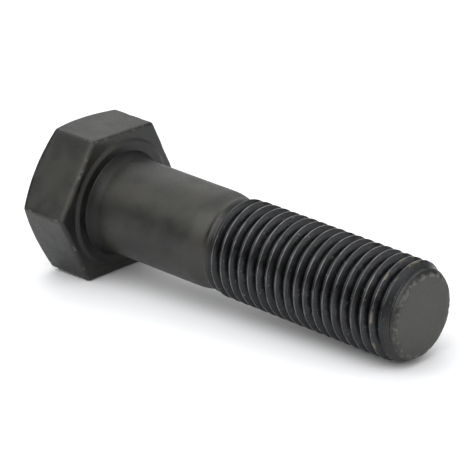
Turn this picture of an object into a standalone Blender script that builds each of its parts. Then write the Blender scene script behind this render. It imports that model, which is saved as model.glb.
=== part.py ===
"""Hex bolt, 1 1/4-7 UNC by 4 3/4 in: one piece of steel, forged at the head and rolled at the thread.

The bolt lies along X. The origin is the centre of the head's top face, +X runs down the shank to the
point, and two of the six wrench flats face +Z and -Z. Everything is in metres.
"""
import math

import bmesh
import bpy
from mathutils import Matrix

INCH = 0.0254

# Head: a hexagon with its top corners turned off and a raised washer face under it.
WIDTH_ACROSS_FLATS = 1.87 * INCH
HEAD_HEIGHT = 0.8 * INCH
HEAD_TOP_CIRCLE = 0.905 * WIDTH_ACROSS_FLATS
HEAD_CHAMFER_ANGLE = math.radians(26)
HEAD_CORNER_WIDTH = 0.0004
HEAD_EDGE_WIDTH = 0.0011
WASHER_FACE_HEIGHT = 0.0008
WASHER_FACE_DIAMETER = 0.0426
WASHER_FLAT_DIAMETER = 0.0402

# Shank: a fillet, the plain body, and a short cone down to the diameter that the thread is rolled on.
LENGTH_UNDER_HEAD = 4.75 * INCH
SHANK_DIAMETER = 0.0314
FILLET_DIAMETER = 0.0346
FILLET_LENGTH = 0.0045
FILLET_STEPS = 5
ROLLING_DIAMETER = 0.0294
REDUCTION_LENGTH = 0.0046

# Thread: right-hand, single-start, 60 degrees, with flat crests and roots.
THREAD_DIAMETER = 1.248 * INCH
THREAD_PITCH = INCH / 7
THREAD_DEPTH = 0.6134 * THREAD_PITCH
THREAD_PITCHES = 20.5
RUN_OUT_PITCHES = 1.4
CREST_HALF_WIDTH = 3 / 48
ROOT_HALF_WIDTH = 4 / 48
CREST_TO_POINT = 27.5 / 48

# Point: a cone from the crests to just under the thread's roots.
POINT_DIAMETER = 0.0264
POINT_ANGLE = math.radians(30)

# Mesh and Boolean allowances.
COLUMNS = 48
CORNER_STEPS = 2
ROOT_IN_HEAD = 0.004
BLANK_MARGIN = 0.003

BEARING_X = HEAD_HEIGHT
HEXAGON_END_X = BEARING_X - WASHER_FACE_HEIGHT
POINT_X = BEARING_X + LENGTH_UNDER_HEAD
THREAD_START_X = POINT_X - THREAD_PITCHES * THREAD_PITCH

CREST_RADIUS = THREAD_DIAMETER / 2
ROOT_RADIUS = CREST_RADIUS - THREAD_DEPTH
# One pitch of thread, as (distance from the crest in pitches, radius).
THREAD_PROFILE = (
    (-CREST_HALF_WIDTH, CREST_RADIUS),
    (CREST_HALF_WIDTH, CREST_RADIUS),
    (0.5 - ROOT_HALF_WIDTH, ROOT_RADIUS),
    (0.5 + ROOT_HALF_WIDTH, ROOT_RADIUS),
)

# Turns a shape built about Z so that it lies about X, with +Y left where it was.
ABOUT_X = Matrix.Rotation(math.radians(90), 4, "Y")


def clear_scene():
    for item in list(bpy.data.objects):
        bpy.data.objects.remove(item, do_unlink=True)


def make_black_oxide():
    material = bpy.data.materials.new("black_oxide_steel")
    material.use_nodes = True
    shader = material.node_tree.nodes["Principled BSDF"]
    shader.inputs["Base Color"].default_value = (0.055, 0.055, 0.052, 1)
    shader.inputs["Metallic"].default_value = 0.9
    shader.inputs["Roughness"].default_value = 0.38
    return material


def add_object(name, bm, material=None):
    bmesh.ops.recalc_face_normals(bm, faces=bm.faces)
    mesh = bpy.data.meshes.new(name)
    bm.to_mesh(mesh)
    bm.free()
    mesh.shade_smooth()
    mesh.set_sharp_from_angle(angle=math.radians(25))
    item = bpy.data.objects.new(name, mesh)
    bpy.context.collection.objects.link(item)
    if material:
        mesh.materials.append(material)
    return item


def make_guide(item):
    """Keep a shape only for the Boolean that uses it."""
    item.hide_render = True
    item.display_type = "WIRE"


def add_boolean(item, operation, other):
    modifier = item.modifiers.new(other.name, "BOOLEAN")
    modifier.operation = operation
    modifier.object = other
    modifier.solver = "EXACT"
    make_guide(other)


def add_prism(bm, start_x, end_x, start_radius, end_radius, sides):
    """Closed prism, cylinder or cone along X, with a corner on +Y."""
    middle = Matrix.Translation(((start_x + end_x) / 2, 0, 0))
    bmesh.ops.create_cone(
        bm, cap_ends=True, segments=sides, radius1=start_radius, radius2=end_radius,
        depth=end_x - start_x, matrix=middle @ ABOUT_X,
    )


def edges_along_x(bm):
    return [edge for edge in bm.edges if abs(edge.verts[0].co.x - edge.verts[1].co.x) > WASHER_FACE_HEIGHT]


def edges_at(bm, x):
    return [edge for edge in bm.edges if all(abs(vert.co.x - x) < HEAD_EDGE_WIDTH for vert in edge.verts)]


def make_head():
    """Hexagon with crisp corners, a rolled edge on its bearing side, and its top turned to a cone."""
    bm = bmesh.new()
    corner_radius = WIDTH_ACROSS_FLATS / math.sqrt(3)
    add_prism(bm, 0, HEXAGON_END_X, corner_radius, corner_radius, 6)
    bmesh.ops.bevel(
        bm, geom=edges_along_x(bm), offset=HEAD_CORNER_WIDTH, offset_type="OFFSET",
        segments=CORNER_STEPS, profile=0.5, affect="EDGES",
    )
    bmesh.ops.bevel(
        bm, geom=edges_at(bm, HEXAGON_END_X), offset=HEAD_EDGE_WIDTH, offset_type="OFFSET",
        segments=CORNER_STEPS, profile=0.5, affect="EDGES",
    )
    head = add_object("head_hexagon", bm)
    add_boolean(head, "INTERSECT", make_chamfer_cone())
    return head


def make_chamfer_cone():
    """Cone that leaves the top circle flat and turns the six top corners off."""
    bm = bmesh.new()
    spread = 1 / math.tan(HEAD_CHAMFER_ANGLE)
    start_x = -BLANK_MARGIN
    end_x = BEARING_X + BLANK_MARGIN
    start_radius = HEAD_TOP_CIRCLE / 2 + start_x * spread
    end_radius = HEAD_TOP_CIRCLE / 2 + end_x * spread
    add_prism(bm, start_x, end_x, start_radius, end_radius, COLUMNS)
    return add_object("head_chamfer_cone", bm)


def add_ring(bm, x, radius):
    """Circle of vertices about X, the first on +Y and the rest in order towards +Z."""
    centre = Matrix.Translation((x, 0, 0))
    ring = bmesh.ops.create_circle(bm, segments=COLUMNS, radius=radius, matrix=centre @ ABOUT_X)
    return ring["verts"]


def bridge_rings(bm, first, second):
    for column in range(COLUMNS):
        after = (column + 1) % COLUMNS
        bm.faces.new((first[column], first[after], second[after], second[column]))


def fillet_outline():
    """Hollow curve that leaves the washer face at a crease and runs out smoothly along the shank."""
    outline = []
    for step in range(FILLET_STEPS + 1):
        along = step / FILLET_STEPS
        rise = (FILLET_DIAMETER - SHANK_DIAMETER) / 2 * (1 - along) ** 2
        outline.append((BEARING_X + FILLET_LENGTH * along, SHANK_DIAMETER / 2 + rise))
    return outline


def shank_outline():
    """Turned outline as (x, radius), from inside the head to the start of the thread."""
    washer_face = [
        (HEXAGON_END_X - ROOT_IN_HEAD, WASHER_FACE_DIAMETER / 2),
        (HEXAGON_END_X, WASHER_FACE_DIAMETER / 2),
        (BEARING_X, WASHER_FLAT_DIAMETER / 2),
    ]
    reduction = [
        (THREAD_START_X - REDUCTION_LENGTH, SHANK_DIAMETER / 2),
        (THREAD_START_X, ROLLING_DIAMETER / 2),
    ]
    return washer_face + fillet_outline() + reduction


def thread_radius(x, full_radius):
    """Grows from the rolling diameter over the run-out, and stays inside the point's cone."""
    growth = min((x - THREAD_START_X) / (RUN_OUT_PITCHES * THREAD_PITCH), 1)
    rolling_radius = ROLLING_DIAMETER / 2
    radius = rolling_radius + growth * (full_radius - rolling_radius)
    cone_radius = POINT_DIAMETER / 2 + (POINT_X - x) * math.tan(POINT_ANGLE)
    return min(radius, cone_radius)


def thread_vertex(bm, grid, first_ring, last_ring, column, station):
    """Vertex of the helical grid, or of an end ring where the helix runs past it."""
    turn, column = divmod(column, COLUMNS)
    station += turn * len(THREAD_PROFILE)
    pitches, step = divmod(station, len(THREAD_PROFILE))
    offset, full_radius = THREAD_PROFILE[step]
    before_start = math.ceil(THREAD_PITCHES) - pitches
    x = POINT_X - THREAD_PITCH * (CREST_TO_POINT + before_start - offset - column / COLUMNS)
    if x <= THREAD_START_X:
        return first_ring[column]
    if x >= POINT_X:
        return last_ring[column]
    if (column, station) not in grid:
        radius = thread_radius(x, full_radius)
        angle = 2 * math.pi * column / COLUMNS
        grid[column, station] = bm.verts.new((x, radius * math.cos(angle), radius * math.sin(angle)))
    return grid[column, station]


def add_thread(bm, first_ring, last_ring):
    """Skin the helix between two flat rings; the cells that collapse onto a ring are left out."""
    grid = {}
    stations = math.ceil(THREAD_PITCHES + 2) * len(THREAD_PROFILE)
    for column in range(COLUMNS):
        for station in range(-len(THREAD_PROFILE), stations):
            around = ((column, station), (column + 1, station), (column + 1, station + 1), (column, station + 1))
            cell = [thread_vertex(bm, grid, first_ring, last_ring, *corner) for corner in around]
            corners = list(dict.fromkeys(cell))
            if len(corners) > 2:
                bm.faces.new(corners)


def make_bolt(material):
    """The shank, thread and point as one turned body, joined to the forged head."""
    bm = bmesh.new()
    rings = [add_ring(bm, x, radius) for x, radius in shank_outline()]
    for first, second in zip(rings, rings[1:]):
        bridge_rings(bm, first, second)
    point_ring = add_ring(bm, POINT_X, POINT_DIAMETER / 2)
    add_thread(bm, rings[-1], point_ring)
    bm.faces.new(rings[0])
    bm.faces.new(point_ring)
    bolt = add_object("hex_bolt", bm, material)
    add_boolean(bolt, "UNION", make_head())
    return bolt


def main():
    clear_scene()
    make_bolt(make_black_oxide())


main()
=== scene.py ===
import math

import bpy
import numpy as np
from mathutils import Matrix, Vector, noise


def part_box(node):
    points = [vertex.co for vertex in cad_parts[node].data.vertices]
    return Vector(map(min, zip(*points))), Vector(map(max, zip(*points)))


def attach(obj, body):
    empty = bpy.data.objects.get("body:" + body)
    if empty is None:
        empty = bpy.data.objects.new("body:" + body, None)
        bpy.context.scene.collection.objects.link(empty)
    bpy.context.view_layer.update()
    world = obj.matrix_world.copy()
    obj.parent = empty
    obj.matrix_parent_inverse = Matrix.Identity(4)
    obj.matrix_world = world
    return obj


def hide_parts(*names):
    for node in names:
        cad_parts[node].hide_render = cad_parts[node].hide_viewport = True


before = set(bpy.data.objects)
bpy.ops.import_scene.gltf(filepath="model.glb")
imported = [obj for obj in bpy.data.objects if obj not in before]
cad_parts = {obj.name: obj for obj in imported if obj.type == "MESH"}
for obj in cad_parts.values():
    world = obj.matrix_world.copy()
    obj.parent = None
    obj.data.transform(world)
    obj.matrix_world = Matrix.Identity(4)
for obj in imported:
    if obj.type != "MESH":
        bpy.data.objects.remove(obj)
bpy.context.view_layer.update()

LOW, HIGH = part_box("hex_bolt")
MM = 0.001
INCH = 25.4 * MM

# Head
FLAT_RADIUS = HIGH.z
BEARING_X = 0.8 * INCH
WASHER_FACE_HEIGHT = 0.8 * MM
HEXAGON_END_X = BEARING_X - WASHER_FACE_HEIGHT
TOP_CIRCLE_RADIUS = 0.905 * FLAT_RADIUS
CHAMFER_ANGLE = math.radians(26)
CORNER_ROUNDING = 0.8 * MM
WASHER_RIM_RADIUS = 21.3 * MM
WASHER_FLAT_RADIUS = 20.1 * MM
FILLET_RADIUS = 17.3 * MM
FILLET_LENGTH = 4.5 * MM
# Edges of the head from its top to the washer face: how far each is rounded, and how much it is rubbed.
HEAD_EDGES = (
    (0.4 * MM, 0.5),
    (0.35 * MM, 0.8),
    (1.1 * MM, 1.0),
    (0.25 * MM, 0.0),
    (0.2 * MM, 0.5),
)

# Shank
SHANK_RADIUS = 15.7 * MM
ROLLING_RADIUS = 14.7 * MM
REDUCTION_LENGTH = 4.6 * MM
REDUCTION_ROUNDING = 1.6 * MM

# Thread. CREST_TO_POINT is in pitches, from the last crest at angle 0 to the point's end face.
POINT_X = HIGH.x
PITCH = INCH / 7
CREST_RADIUS = 1.248 * INCH / 2
THREAD_DEPTH = 0.6134 * PITCH
THREAD_START_X = POINT_X - 20.5 * PITCH
RUN_OUT = 1.4 * PITCH
CREST_TO_POINT = 27.5 / 48
CREST_HALF_FLAT = PITCH / 16
CREST_ROUNDING = 0.16 * MM
ROOT_HALF_FLAT = PITCH / 12
ROOT_ROUNDING = 0.29 * MM
THREAD_CURVE = (0, 0.33, 0.67, 1)

# Point
POINT_RADIUS = 13.2 * MM
POINT_ANGLE = math.radians(30)
POINT_EDGE = 0.7 * MM
POINT_ROUNDING = 0.55 * MM
POINT_BLEND = 0.25 * MM

# Mesh density
SECTOR = math.radians(60)
SECTOR_CORNER_COLUMNS = 8
SECTOR_FLAT_COLUMNS = 24
CORNER_SPREAD = math.radians(1.6)
ROW_SPACING = 1.1 * MM
CURVE_STEPS = 4
FILLET_STEPS = 12
SPARE_PITCHES = 3
SHARP_ANGLE = math.radians(35)

# Unevenness of the real steel, as (depth, size of its waves, seed). It only ever goes inwards.
FORGING = (0.10 * MM, 7 * MM, 3.1)
DENTS = (0.05 * MM, 2.6 * MM, 7.7)
EDGE_WAVES = (0.22 * MM, 4 * MM, 1.3)
CREST_WAVES = (0.05 * MM, 2.6 * MM, 9.2)
NICKS = (0.22 * MM, 1.5 * MM, 5.9)
NICK_START = 0.15
NICK_SPREAD = 0.35
CREST_TOP = 0.9
CREST_NICKS = 0.4
HEAD_FADE = 1 * MM
# Vertices are drawn towards the nearest place on the axis between these two.
HEAD_MIDDLE = 10 * MM
POINT_MIDDLE = POINT_X - 8 * MM

# Rubbed edges, the oil, and painted shade under the head
CORNER_WEAR = 0.8
CORNER_WEAR_WIDTH = 0.3 * MM
RIM_WEAR_WIDTH = 1.3 * MM
RIM_WEAR_REACH = 1.5
TURNED_OFF_DEPTH = 0.6 * MM
OIL_START = 0.15
OIL_SPREAD = 0.6
CHAMFER_OIL = 0.35
WIPED_START_X = POINT_X - 1.3 * PITCH
# Painted shade under the head: the softness of its edges, its reach along the shank, and its share on the
# washer face.
PAINTED_SHADE_EDGE = 0.1 * MM
PAINTED_SHADE_REACH = 1.5 * FILLET_LENGTH
WASHER_PAINTED_SHADE = 0.35
CREASE_WIDTH = 0.3 * MM

# Finish: linear reflectances
PLAIN_DARK = (0.046, 0.048, 0.046, 1)
PLAIN_LIGHT = (0.064, 0.063, 0.058, 1)
END_FACE = (0.080, 0.080, 0.076, 1)
OIL_GREEN = (0.030, 0.034, 0.033, 1)
OIL_VIOLET = (0.034, 0.033, 0.038, 1)
OIL_FLANK = (0.045, 0.046, 0.048, 1)
# Specks of painted glint in the thread.
PAINTED_GLINT = (0.15, 0.15, 0.145, 1)
# Crest line: partly bare steel where rubbed, partly painted highlight.
CREST_STEEL_AND_HIGHLIGHT = (0.13, 0.13, 0.127, 1)
# Painted highlight on the last crests near the point.
TIP_PAINTED_HIGHLIGHT = (0.17, 0.155, 0.11, 1)
BARE_STEEL = (0.16, 0.16, 0.15, 1)
# Colour of the painted shade under the head.
PAINTED_SHADE_COLOUR = (0.021, 0.022, 0.022, 1)

# Finish: how far each layer shows
CLOUD_SHARE = 0.65
END_FACE_DEPTH = 0.4 * MM
END_FACE_SHARE = 0.6
# Thinnest share of the painted shade under the head.
THINNEST_PAINTED_SHADE = 0.7
# Least share of the crest line's bare steel and painted highlight.
LEAST_CREST_STEEL_AND_HIGHLIGHT = 0.35
# Where the painted highlight on the last crests and the extra nicks near the point fade in.
TIP_FADE_X = (POINT_X - 3.5 * PITCH, POINT_X - 1.5 * PITCH)
MORE_TIP_NICKS = 0.07
NICK_SHARE = 0.55

# Finish: sizes of the spots, and the noise or mask values between which each layer fades in
CLOUD_SIZE = 12 * MM
MOTTLE_SIZE = 2.4 * MM
SPECK_SIZE = 0.8 * MM
GRAIN_SIZE = 0.3 * MM
SOFT_SPOTS = (0.4, 0.6)
# Where the painted shade under the head is patchy.
PAINTED_SHADE_SPOTS = (0.3, 0.7)
# Where the specks of painted glint show.
PAINTED_GLINT_GRAIN = (0.6, 0.7)
PAINTED_GLINT_SPECKS = (0.5, 0.6)
# Where the painted highlight on the last crests shows.
TIP_HIGHLIGHT_SPOTS = (0.5, 0.6)
NICK_SPOTS = (0.57, 0.66)
FLANK_FADE = (0.1, 0.8)
CREST_FADE = (0.95, 1.0)
TIP_CREST_FADE = (0.7, 0.95)
WORN_FADE = (0.2, 0.9)

# Finish: roughness and bumps
PLAIN_ROUGHNESS = (0.42, 0.54)
PLAIN_ROUGH_SPOTS = (0.7, 1.3)
OILY_ROUGHNESS = (0.27, 0.36)
OILY_ROUGH_SPOTS = (0.3, 0.7)
FORGED_BUMP = 0.04 * MM
PITTED_BUMP = 0.016 * MM
PLAIN_PITS = 0.5
GRAIN_BUMP = 0.006 * MM

# Ground
GROUND_SLOPE = math.tan(math.radians(3.83))
GROUND_GAP = 0.05 * MM
GROUND_FLAT_HALF_WIDTH = 35 * MM
GROUND_PAST_POINT = 5 * MM
GROUND_FADE = 120 * MM
GROUND_SIZE = 6.0
GROUND_LINES = 161
GROUND_EVEN_SHARE = 0.04
GROUND_CROWDING = 4
GROUND_WHITE = (0.93, 0.935, 0.945, 1)
GROUND_ROUGHNESS = 0.8
GROUND_SHINE = 0.2

# Camera
CAMERA_PLACE = (0.59145, -0.62437, 0.33606)
CAMERA_AZIMUTH = math.radians(40.006)
CAMERA_ELEVATION = math.radians(22.129)
CAMERA_ROLL = math.radians(3.0451)
CAMERA_LENS = 218.49
CAMERA_REACH = 20

# Soft panels of the studio's dome, in degrees: turn round from the camera towards its right, height above
# the ground, brightness, and half the width.
PANELS = (
    (90, 12, 1.35, 45),
    (45, 50, 1.3, 50),
    (-135, 50, 0.95, 50),
    (-45, 50, 2.95, 50),
    (180, 40, 1.7, 45),
)
PANEL_CORE = 12
SEEN_BACKGROUND = 1.2


# ---------------------------------------------------------------- mesh of the bolt
def column_angles():
    """Angles from +Y towards +Z, closer together at the hexagon's corners; a corner is at angle 0."""
    corner = np.linspace(-CORNER_SPREAD, CORNER_SPREAD, SECTOR_CORNER_COLUMNS, endpoint=False)
    flat = np.linspace(CORNER_SPREAD, SECTOR - CORNER_SPREAD, SECTOR_FLAT_COLUMNS, endpoint=False)
    sector = np.concatenate((corner, flat))
    angles = np.concatenate([sector + SECTOR * turn for turn in range(6)])
    first = SECTOR_CORNER_COLUMNS // 2
    return np.concatenate((angles[first:], angles[:first] + 2 * math.pi))


ANGLES = column_angles()
COLUMNS = len(ANGLES)


def hexagon_radius():
    """Distance from the axis to the hexagon's side at every column, with its six corners rounded."""
    half = SECTOR / 2
    from_corner = (ANGLES + half) % SECTOR - half
    from_flat = half - np.abs(from_corner)
    side = FLAT_RADIUS / np.cos(from_flat)
    middle = (FLAT_RADIUS - CORNER_ROUNDING) / math.cos(half)
    touch_angle = math.atan2(CORNER_ROUNDING / 2, middle + CORNER_ROUNDING * math.cos(half))
    across = np.minimum(middle * np.abs(np.sin(from_corner)), CORNER_ROUNDING)
    arc = middle * np.cos(from_corner) + np.sqrt(CORNER_ROUNDING**2 - across**2)
    return np.where(np.abs(from_corner) < touch_angle, arc, side)


def point(x, radius):
    """The outline point (x, radius) at every column; either may already differ from column to column."""
    return np.stack(np.broadcast_arrays(x, radius, ANGLES)[:2], axis=1).astype(float)


def unit(vectors):
    return vectors / np.linalg.norm(vectors, axis=1, keepdims=True)


def bend(start, corner, end, t):
    """Place on the smooth curve from start to end that leaves and arrives along the lines to the corner."""
    return (1 - t) ** 2 * start + 2 * t * (1 - t) * corner + t**2 * end


def outline_rows(corners, edges):
    """Rows of outline points along a chain of corners, each inner corner turned into a short curve.

    edges has (how far it is rounded, how much it is rubbed) for each inner corner, and a row is
    (points, wear)."""
    rows = []
    last = corners[0]
    for number, (cut, rubbed) in enumerate(edges):
        before, corner, after = corners[number:number + 3]
        start = corner + unit(before - corner) * cut
        end = corner + unit(after - corner) * cut
        rows += straight_rows(last, start)
        for t in np.linspace(0, 1, CURVE_STEPS + 1):
            rows.append((bend(start, corner, end, t), rubbed * (1 - abs(2 * t - 1))))
        last = end
    return rows + straight_rows(last, corners[-1])


def straight_rows(start, end):
    """Rows strictly between two rows of points, about ROW_SPACING apart."""
    longest = np.linalg.norm(end - start, axis=1).max()
    count = int(longest / ROW_SPACING)
    return [(start + (end - start) * (step / (count + 1)), 0.0) for step in range(1, count + 1)]


def head_rows():
    """From the head's top face round the hexagon to the crease where the fillet starts."""
    hexagon = hexagon_radius()
    chamfer_x = (hexagon - TOP_CIRCLE_RADIUS) * math.tan(CHAMFER_ANGLE)
    corners = [
        point(0, 0),
        point(0, TOP_CIRCLE_RADIUS),
        point(chamfer_x, hexagon),
        point(HEXAGON_END_X, hexagon),
        point(HEXAGON_END_X, WASHER_RIM_RADIUS),
        point(BEARING_X, WASHER_FLAT_RADIUS),
        point(BEARING_X, FILLET_RADIUS),
    ]
    return outline_rows(corners, HEAD_EDGES)


def fillet_rows():
    """Hollow curve from the crease on the washer face out to just before the shank."""
    rows = []
    for step in range(FILLET_STEPS):
        along = step / FILLET_STEPS
        rise = (FILLET_RADIUS - SHANK_RADIUS) * (1 - along) ** 2
        rows.append((point(BEARING_X + FILLET_LENGTH * along, SHANK_RADIUS + rise), 0.0))
    return rows


def shank_rows():
    """Plain shank and the cone down to the diameter that the thread is rolled on."""
    corners = [
        point(BEARING_X + FILLET_LENGTH, SHANK_RADIUS),
        point(THREAD_START_X - REDUCTION_LENGTH, SHANK_RADIUS),
        point(THREAD_START_X, ROLLING_RADIUS),
    ]
    return outline_rows(corners, [(REDUCTION_ROUNDING, 0.0)]) + [(corners[-1], 0.0)]


def point_rows():
    """Rounded rim of the point and its end face, in to the middle."""
    rim_radius = POINT_RADIUS + POINT_EDGE * math.tan(POINT_ANGLE)
    corners = [point(POINT_X - POINT_EDGE, rim_radius), point(POINT_X, POINT_RADIUS), point(POINT_X, 0)]
    return [(corners[0], 0.0)] + outline_rows(corners, [(POINT_ROUNDING, 1.0)])


def thread_profile():
    """One pitch of thread as (distance from the crest, depth below it), its corners rounded."""
    half = PITCH / 2
    corners = [
        (0, 0),
        (CREST_HALF_FLAT, 0),
        (half - ROOT_HALF_FLAT, THREAD_DEPTH),
        (half, THREAD_DEPTH),
    ]
    profile = [corners[0]]
    for number, cut in enumerate((CREST_ROUNDING, ROOT_ROUNDING)):
        before, corner, after = [Vector(place) for place in corners[number:number + 3]]
        start = corner + (before - corner).normalized() * cut
        end = corner + (after - corner).normalized() * cut
        profile += [tuple(bend(start, corner, end, t)) for t in THREAD_CURVE]
    falling = profile + [corners[-1]]
    rising = [(PITCH - along, depth) for along, depth in reversed(profile[1:])]
    return np.array(falling + rising)


def smooth_step(values):
    """Eases values from 0 to 1, and holds them there outside that range."""
    values = np.clip(values, 0, 1)
    return values * values * (3 - 2 * values)


def soft_minimum(first, second, softness):
    """The smaller of two radii, with the corner between them rounded."""
    gap = np.maximum(softness - np.abs(first - second), 0) / softness
    return np.minimum(first, second) - gap * gap * softness / 4


def thread_grid():
    """The helix at every column and station: x, radius, how near it is to the crest, and how oily it is.

    The last value returned is the number of stations in one pitch."""
    profile = thread_profile()
    pitches = math.ceil((POINT_X - THREAD_START_X) / PITCH) + SPARE_PITCHES
    along = np.concatenate([profile[:, 0] + PITCH * turn for turn in range(pitches)])
    depth = np.tile(profile[:, 1], pitches)
    first_crest_x = POINT_X - PITCH * (CREST_TO_POINT + pitches - 1)
    x = first_crest_x + along[None, :] + PITCH * ANGLES[:, None] / (2 * math.pi)
    growth = np.clip((x - THREAD_START_X) / RUN_OUT, 0, 1)
    full = CREST_RADIUS - depth[None, :]
    radius = ROLLING_RADIUS + growth * (full - ROLLING_RADIUS)
    cone = POINT_RADIUS + (POINT_X - x) * math.tan(POINT_ANGLE)
    radius = soft_minimum(radius, cone, POINT_BLEND)
    turned_off = smooth_step((full - radius) / TURNED_OFF_DEPTH) * (growth == 1)
    crest = np.clip(1 - depth / THREAD_DEPTH, 0, 1)[None, :] * growth * (1 - turned_off)
    wiped = smooth_step((x - WIPED_START_X) / PITCH) * (1 - CHAMFER_OIL)
    oil = smooth_step((growth - OIL_START) / OIL_SPREAD) * (1 - wiped)
    return x, radius, crest, oil, len(profile)


def waves(places, size, seed):
    """Smooth noise from -1 to 1 at every place, its waves about this size."""
    return np.array([noise.noise(Vector(place) / size + Vector((seed, seed, seed))) for place in places])


def hollows(places, kind):
    """Depth of one kind of unevenness at every place, from nothing to the kind's own depth."""
    depth, size, seed = kind
    return depth * (1 + waves(places, size, seed)) / 2


def nick_depth(places, wear, crest):
    """Small separate nicks on rubbed edges, and weaker ones on the thread's crests."""
    depth, size, seed = NICKS
    nicks = smooth_step((waves(places, size, seed) - NICK_START) / NICK_SPREAD)
    on_crest = smooth_step((crest - CREST_TOP) / (1 - CREST_TOP)) * CREST_NICKS
    return depth * nicks * np.maximum(wear, on_crest)


def inward_directions(places):
    """Unit vectors towards the axis; near the head's top and the point's end they also lean along it."""
    axis_x = np.clip(places[:, 0], HEAD_MIDDLE, POINT_MIDDLE)
    inwards = np.stack((axis_x, np.zeros(len(places)), np.zeros(len(places))), axis=1) - places
    return inwards / np.maximum(np.linalg.norm(inwards, axis=1, keepdims=True), MM)


def worn_places(places, wear, crest):
    """Every vertex drawn in a little: a forged head, dents, nicked edges and crests of uneven height."""
    forged = smooth_step((BEARING_X - places[:, 0]) / HEAD_FADE)
    depth = forged * (hollows(places, FORGING) + hollows(places, DENTS))
    depth += wear * hollows(places, EDGE_WAVES) + crest * hollows(places, CREST_WAVES)
    depth += nick_depth(places, wear, crest)
    return places + inward_directions(places) * depth[:, None]


def edge_wear(places):
    """Rubbing along the hexagon's six long corners and round the point's rim."""
    radius = np.hypot(places[:, 1], places[:, 2])
    corner_radius = hexagon_radius().max()
    on_head = smooth_step((HEXAGON_END_X - places[:, 0]) / HEAD_FADE)
    corners = on_head * CORNER_WEAR * smooth_step((radius - corner_radius) / CORNER_WEAR_WIDTH + 1)
    from_rim = np.hypot(places[:, 0] - POINT_X, radius - POINT_RADIUS)
    return np.maximum(corners, smooth_step(RIM_WEAR_REACH * (1 - from_rim / RIM_WEAR_WIDTH)))


def painted_shade_mask(places):
    """Dark painted shade on the washer face and in the fillet, thinning out along the shank."""
    radius = np.hypot(places[:, 1], places[:, 2])
    past_face = places[:, 0] - BEARING_X
    painted_shade = smooth_step((places[:, 0] - HEXAGON_END_X) / PAINTED_SHADE_EDGE + 1)
    painted_shade *= smooth_step((WASHER_RIM_RADIUS - radius) / PAINTED_SHADE_EDGE + 1)
    painted_shade *= 1 - (1 - WASHER_PAINTED_SHADE) * smooth_step(1 - past_face / CREASE_WIDTH)
    return painted_shade * smooth_step(1 - past_face / PAINTED_SHADE_REACH)


class Skin:
    """Vertices, faces and per-vertex masks of one closed surface."""

    def __init__(self):
        self.x = []
        self.radius = []
        self.angle = []
        self.masks = {"wear": [], "thread": [], "crest": []}
        self.faces = []

    def add(self, x, radius, angle, wear=0.0, thread=0.0, crest=0.0):
        self.x.append(x)
        self.radius.append(radius)
        self.angle.append(angle)
        self.masks["wear"].append(wear)
        self.masks["thread"].append(thread)
        self.masks["crest"].append(crest)
        return len(self.x) - 1

    def add_row(self, points, wear, thread=0.0):
        return [self.add(x, radius, angle, wear, thread) for (x, radius), angle in zip(points, ANGLES)]

    def bridge(self, first, second):
        for column in range(COLUMNS):
            after = (column + 1) % COLUMNS
            self.faces.append((first[column], first[after], second[after], second[column]))

    def add_rows(self, rows, before=None):
        """Add rows in order and join each to the one before it. Returns the last row."""
        for points, wear in rows:
            row = self.add_row(points, wear)
            if before is not None:
                self.bridge(before, row)
            before = row
        return before

    def fan(self, row, x, towards):
        """Close a row with a vertex on the axis; towards is the sign of X that the fan faces."""
        centre = self.add(x, 0.0, 0.0)
        for column in range(COLUMNS):
            after = (column + towards) % COLUMNS
            self.faces.append((row[column], row[after], centre))

    def add_thread(self, first_row, last_row):
        """Skin the helix between two rows; vertices past either row are drawn onto it."""
        x, radius, crest, oil, per_pitch = thread_grid()
        stations = x.shape[1]
        ids = np.empty((COLUMNS + 1, stations), int)
        for column in range(COLUMNS):
            for station in range(stations):
                here = x[column, station]
                if here <= THREAD_START_X:
                    ids[column, station] = first_row[column]
                elif here >= POINT_X - POINT_EDGE:
                    ids[column, station] = last_row[column]
                else:
                    ids[column, station] = self.add(
                        here, radius[column, station], ANGLES[column],
                        thread=oil[column, station], crest=crest[column, station],
                    )
        ids[COLUMNS, :-per_pitch] = ids[0, per_pitch:]
        ids[COLUMNS, -per_pitch:] = last_row[0]
        for column in range(COLUMNS):
            for station in range(stations - 1):
                cell = (
                    ids[column, station], ids[column + 1, station],
                    ids[column + 1, station + 1], ids[column, station + 1],
                )
                corners = tuple(dict.fromkeys(int(corner) for corner in cell))
                if len(corners) > 2:
                    self.faces.append(corners)

    def build(self, name):
        """Wear the surface down and make it a mesh, with its masks as attributes."""
        radius = np.array(self.radius)
        angle = np.array(self.angle)
        places = np.stack((np.array(self.x), radius * np.cos(angle), radius * np.sin(angle)), axis=1)
        self.masks["wear"] = np.maximum(self.masks["wear"], edge_wear(places))
        places = worn_places(places, self.masks["wear"], np.array(self.masks["crest"]))
        # Painted shade under the head, stored as a mask.
        self.masks["painted_shade"] = painted_shade_mask(places)
        mesh = bpy.data.meshes.new(name)
        mesh.from_pydata(places.tolist(), [], self.faces)
        for mask, values in self.masks.items():
            attribute = mesh.attributes.new(mask, "FLOAT", "POINT")
            attribute.data.foreach_set("value", np.array(values, np.float32))
        mesh.shade_smooth()
        mesh.set_sharp_from_angle(angle=SHARP_ANGLE)
        return mesh


def make_bolt():
    """The whole bolt, from the middle of the head's top face to the middle of the point."""
    skin = Skin()
    last = skin.add_rows(head_rows())
    first = list(range(COLUMNS))
    skin.fan(first, 0.0, towards=-1)
    last = skin.add_rows(fillet_rows() + shank_rows(), before=last)
    rim = point_rows()
    first_rim = skin.add_row(*rim[0], thread=CHAMFER_OIL)
    skin.add_thread(last, first_rim)
    last = skin.add_rows(rim[1:], before=first_rim)
    skin.fan(last, POINT_X, towards=1)
    bolt = bpy.data.objects.new("bolt_steel", skin.build("bolt_steel"))
    bpy.context.scene.collection.objects.link(bolt)
    return bolt


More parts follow.
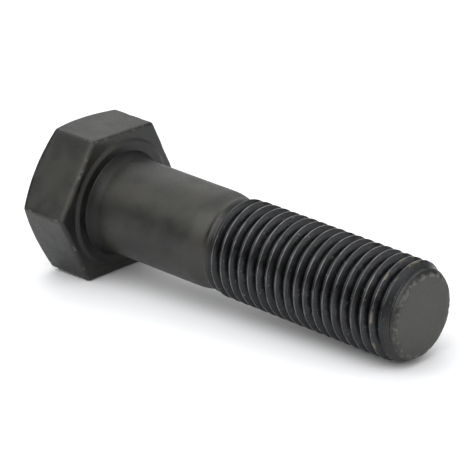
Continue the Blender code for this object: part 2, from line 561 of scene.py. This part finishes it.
# ---------------------------------------------------------------- finish
class Nodes:
    """Adds nodes to one material; what a method adds carries its result on the socket it returns."""

    def __init__(self, name):
        self.material = bpy.data.materials.new(name)
        self.material.use_nodes = True
        self.tree = self.material.node_tree
        self.shader = self.tree.nodes["Principled BSDF"]
        self.place = self.tree.nodes.new("ShaderNodeTexCoord").outputs["Object"]

    def feed(self, socket, value):
        if isinstance(value, bpy.types.NodeSocket):
            self.tree.links.new(value, socket)
        else:
            socket.default_value = value

    def mask(self, name):
        node = self.tree.nodes.new("ShaderNodeAttribute")
        node.attribute_name = name
        return node.outputs["Fac"]

    def noise(self, size, detail=2.0, seed=0.0):
        """Noise from 0 to 1 whose spots are about this size; seed moves it to another place.

        A wave of the noise is one light spot and one dark spot."""
        moved = self.tree.nodes.new("ShaderNodeVectorMath")
        moved.operation = "ADD"
        self.feed(moved.inputs[0], self.place)
        moved.inputs[1].default_value = (seed, seed, seed)
        node = self.tree.nodes.new("ShaderNodeTexNoise")
        self.feed(node.inputs["Vector"], moved.outputs["Vector"])
        node.inputs["Scale"].default_value = 1 / (2 * size)
        node.inputs["Detail"].default_value = detail
        return node.outputs["Fac"]

    def along_bolt(self):
        """Distance down the bolt from the head's top face."""
        node = self.tree.nodes.new("ShaderNodeSeparateXYZ")
        self.feed(node.inputs["Vector"], self.place)
        return node.outputs["X"]

    def between(self, value, low, high, first=0.0, second=1.0):
        """Runs smoothly from first to second as value goes from low to high."""
        node = self.tree.nodes.new("ShaderNodeMapRange")
        node.interpolation_type = "SMOOTHSTEP"
        self.feed(node.inputs["Value"], value)
        for name, number in (("From Min", low), ("From Max", high), ("To Min", first), ("To Max", second)):
            self.feed(node.inputs[name], number)
        return node.outputs["Result"]

    def maths(self, operation, first, second):
        node = self.tree.nodes.new("ShaderNodeMath")
        node.operation = operation
        self.feed(node.inputs[0], first)
        self.feed(node.inputs[1], second)
        return node.outputs["Value"]

    def blend(self, factor, first, second):
        """Mixes two colours."""
        node = self.tree.nodes.new("ShaderNodeMix")
        node.data_type = "RGBA"
        self.feed(node.inputs["Factor"], factor)
        self.feed(node.inputs["A"], first)
        self.feed(node.inputs["B"], second)
        return node.outputs["Result"]

    def mix(self, factor, first, second):
        """Mixes two numbers."""
        node = self.tree.nodes.new("ShaderNodeMix")
        self.feed(node.inputs["Factor"], factor)
        self.feed(node.inputs["A"], first)
        self.feed(node.inputs["B"], second)
        return node.outputs["Result"]

    def bump(self, height, depth, under=None):
        """Raises the surface by height times depth, in metres, on top of another bump."""
        node = self.tree.nodes.new("ShaderNodeBump")
        self.feed(node.inputs["Height"], height)
        self.feed(node.inputs["Distance"], depth)
        if under is not None:
            self.feed(node.inputs["Normal"], under)
        return node.outputs["Normal"]


class OxideNodes(Nodes):
    """The bolt's finish: satin oxide, an oily thread, steel showing where it is rubbed, painted shade under
    the head, and painted highlights and specks of painted glint on the thread.
    """

    def __init__(self, name):
        super().__init__(name)
        self.thread = self.mask("thread")
        self.crest = self.mask("crest")
        self.clouds = self.noise(CLOUD_SIZE, detail=3)
        self.mottle = self.noise(MOTTLE_SIZE, detail=4, seed=0.3)
        self.specks = self.noise(SPECK_SIZE, detail=3, seed=0.9)
        self.grain = self.noise(GRAIN_SIZE, detail=2, seed=0.7)

    def plain_colour(self):
        """Mottled oxide of the head and shank, paler on the end face, darkened by painted shade on the washer
        face and in the fillet.
        """
        cloudy = self.maths("MULTIPLY", self.clouds, CLOUD_SHARE)
        tone = self.maths("ADD", cloudy, self.maths("MULTIPLY", self.mottle, 1 - CLOUD_SHARE))
        colour = self.blend(self.between(tone, *SOFT_SPOTS), PLAIN_DARK, PLAIN_LIGHT)
        end_face = self.between(self.along_bolt(), POINT_X - END_FACE_DEPTH, POINT_X)
        colour = self.blend(self.maths("MULTIPLY", end_face, END_FACE_SHARE), colour, END_FACE)
        # Painted shade under the head, patchy with the clouds.
        patchy = self.between(self.clouds, *PAINTED_SHADE_SPOTS, THINNEST_PAINTED_SHADE, 1.0)
        return self.blend(self.maths("MULTIPLY", self.mask("painted_shade"), patchy), colour, PAINTED_SHADE_COLOUR)

    def oily_colour(self):
        """Dark grooves between green and violet, lighter flanks, and fine specks of painted glint."""
        groove = self.blend(self.between(self.mottle, *SOFT_SPOTS), OIL_GREEN, OIL_VIOLET)
        colour = self.blend(self.between(self.crest, *FLANK_FADE), groove, OIL_FLANK)
        # Specks of painted glint in the thread.
        bright_grain = self.between(self.grain, *PAINTED_GLINT_GRAIN)
        painted_glints = self.maths("MULTIPLY", bright_grain, self.between(self.specks, *PAINTED_GLINT_SPECKS))
        return self.blend(painted_glints, colour, PAINTED_GLINT)

    def rubbed(self, colour):
        """The same colour with bare steel and a painted highlight along the crests, painted highlight in
        spots on the last crests, and bare steel in the nicks.
        """
        # Crest line: bare steel where rubbed, with a painted highlight along it.
        crest_wear_and_highlight = self.between(self.mottle, *SOFT_SPOTS, LEAST_CREST_STEEL_AND_HIGHLIGHT, 1.0)
        crest_top = self.maths("MULTIPLY", self.between(self.crest, *CREST_FADE), crest_wear_and_highlight)
        colour = self.blend(crest_top, colour, CREST_STEEL_AND_HIGHLIGHT)
        near_tip = self.between(self.along_bolt(), *TIP_FADE_X)
        # Painted highlight in spots on the last crests near the point.
        painted_tip_highlight = self.maths("MULTIPLY", near_tip, self.between(self.mottle, *TIP_HIGHLIGHT_SPOTS))
        painted_tip_highlight = self.maths("MULTIPLY", painted_tip_highlight, self.between(self.crest, *TIP_CREST_FADE))
        colour = self.blend(painted_tip_highlight, colour, TIP_PAINTED_HIGHLIGHT)
        nicks = self.maths("ADD", self.specks, self.maths("MULTIPLY", near_tip, MORE_TIP_NICKS))
        worn = self.between(self.mask("wear"), *WORN_FADE)
        nicked = self.maths("MULTIPLY", worn, self.between(nicks, *NICK_SPOTS))
        return self.blend(self.maths("MULTIPLY", nicked, NICK_SHARE), colour, BARE_STEEL)

    def roughness(self):
        """Satin where it is plain, and smoother where it is oily."""
        uneven = self.maths("ADD", self.mottle, self.grain)
        plain = self.between(uneven, *PLAIN_ROUGH_SPOTS, *PLAIN_ROUGHNESS)
        oily = self.between(self.specks, *OILY_ROUGH_SPOTS, *OILY_ROUGHNESS)
        return self.mix(self.thread, plain, oily)

    def uneven_normal(self):
        """Shallow forging marks, pits that are deeper in the thread, and fine grain."""
        forged = self.bump(self.mottle, FORGED_BUMP)
        pits = self.maths("MULTIPLY", self.specks, self.between(self.thread, 0, 1, PLAIN_PITS, 1.0))
        return self.bump(self.grain, GRAIN_BUMP, under=self.bump(pits, PITTED_BUMP, under=forged))


def make_finish():
    nodes = OxideNodes("black_oxide_finish")
    colour = nodes.blend(nodes.thread, nodes.plain_colour(), nodes.oily_colour())
    nodes.feed(nodes.shader.inputs["Base Color"], nodes.rubbed(colour))
    nodes.feed(nodes.shader.inputs["Roughness"], nodes.roughness())
    nodes.feed(nodes.shader.inputs["Normal"], nodes.uneven_normal())
    nodes.shader.inputs["Metallic"].default_value = 1.0
    return nodes.material


# ---------------------------------------------------------------- studio
def ground_height(x, y):
    """A pale ground that rises gently under the bolt, so that the head's edge and the point both touch it."""
    line = LOW.z + GROUND_SLOPE * (x - HEXAGON_END_X)
    level = LOW.z - GROUND_SLOPE * HEXAGON_END_X
    under = smooth_step(1 - (np.abs(y) - GROUND_FLAT_HALF_WIDTH) / GROUND_FADE)
    before = smooth_step(1 + x / GROUND_FADE)
    beyond = smooth_step(1 - (x - POINT_X - GROUND_PAST_POINT) / GROUND_FADE)
    return level + (line - level) * under * before * beyond - GROUND_GAP


def make_ground_material():
    material = bpy.data.materials.new("white_ground")
    material.use_nodes = True
    shader = material.node_tree.nodes["Principled BSDF"]
    shader.inputs["Base Color"].default_value = GROUND_WHITE
    shader.inputs["Roughness"].default_value = GROUND_ROUGHNESS
    shader.inputs["Specular IOR Level"].default_value = GROUND_SHINE
    return material


def make_ground():
    """A wide sheet of quads, crowded together under the bolt."""
    spread = np.linspace(-1, 1, GROUND_LINES)
    away = np.abs(spread)
    crowded = GROUND_EVEN_SHARE * away + (1 - GROUND_EVEN_SHARE) * away**GROUND_CROWDING
    steps = np.sign(spread) * crowded * GROUND_SIZE
    x, y = np.meshgrid(steps + POINT_X / 2, steps, indexing="ij")
    places = np.stack((x, y, ground_height(x, y)), axis=-1).reshape(-1, 3)
    corners = (0, GROUND_LINES, GROUND_LINES + 1, 1)
    faces = [
        [row * GROUND_LINES + column + corner for corner in corners]
        for row in range(GROUND_LINES - 1)
        for column in range(GROUND_LINES - 1)
    ]
    mesh = bpy.data.meshes.new("ground")
    mesh.from_pydata(places.tolist(), [], faces)
    mesh.shade_smooth()
    mesh.materials.append(make_ground_material())
    ground = bpy.data.objects.new("ground", mesh)
    bpy.context.scene.collection.objects.link(ground)
    return ground


def panel_direction(turn, height):
    """Unit vector towards a panel that is turned round from the camera and this far up, in degrees."""
    around = CAMERA_AZIMUTH + math.radians(turn)
    up = math.radians(height)
    return Vector((math.sin(around) * math.cos(up), -math.cos(around) * math.cos(up), math.sin(up)))


def panel_glow(tree, direction, panel):
    """Brightness of one soft panel, seen in this direction."""
    turn, height, brightness, half_width = panel
    facing = tree.nodes.new("ShaderNodeVectorMath")
    facing.operation = "DOT_PRODUCT"
    facing.inputs[1].default_value = panel_direction(turn, height)
    tree.links.new(direction, facing.inputs[0])
    glow = tree.nodes.new("ShaderNodeMapRange")
    glow.interpolation_type = "SMOOTHSTEP"
    glow.inputs["From Min"].default_value = math.cos(math.radians(half_width))
    glow.inputs["From Max"].default_value = math.cos(math.radians(PANEL_CORE))
    glow.inputs["To Max"].default_value = brightness
    tree.links.new(facing.outputs["Value"], glow.inputs["Value"])
    return glow.outputs["Result"]


def make_dome():
    """World light: broad soft panels on a dark dome. The camera itself sees plain white."""
    world = bpy.data.worlds.new("studio")
    bpy.context.scene.world = world
    world.use_nodes = True
    tree = world.node_tree
    tree.nodes.clear()
    direction = tree.nodes.new("ShaderNodeTexCoord").outputs["Generated"]
    total = panel_glow(tree, direction, PANELS[0])
    for panel in PANELS[1:]:
        both = tree.nodes.new("ShaderNodeMath")
        both.operation = "ADD"
        tree.links.new(total, both.inputs[0])
        tree.links.new(panel_glow(tree, direction, panel), both.inputs[1])
        total = both.outputs["Value"]
    seen = tree.nodes.new("ShaderNodeMix")
    path = tree.nodes.new("ShaderNodeLightPath")
    tree.links.new(path.outputs["Is Camera Ray"], seen.inputs["Factor"])
    tree.links.new(total, seen.inputs["A"])
    seen.inputs["B"].default_value = SEEN_BACKGROUND
    light = tree.nodes.new("ShaderNodeBackground")
    tree.links.new(seen.outputs["Result"], light.inputs["Strength"])
    output = tree.nodes.new("ShaderNodeOutputWorld")
    tree.links.new(light.outputs["Background"], output.inputs["Surface"])


def make_camera():
    data = bpy.data.cameras.new("camera")
    data.lens = CAMERA_LENS
    data.clip_end = CAMERA_REACH
    camera = bpy.data.objects.new("camera", data)
    bpy.context.scene.collection.objects.link(camera)
    turn = Matrix.Rotation(CAMERA_AZIMUTH, 3, "Z")
    tilt = Matrix.Rotation(math.radians(90) - CAMERA_ELEVATION, 3, "X")
    roll = Matrix.Rotation(CAMERA_ROLL, 3, "Z")
    camera.matrix_world = Matrix.Translation(CAMERA_PLACE) @ (turn @ tilt @ roll).to_4x4()
    bpy.context.scene.camera = camera


def main():
    bolt = make_bolt()
    bolt.data.materials.append(make_finish())
    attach(bolt, "root")
    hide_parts("hex_bolt")
    make_ground()
    make_dome()
    make_camera()
    bpy.context.scene.view_settings.view_transform = "Standard"


main()
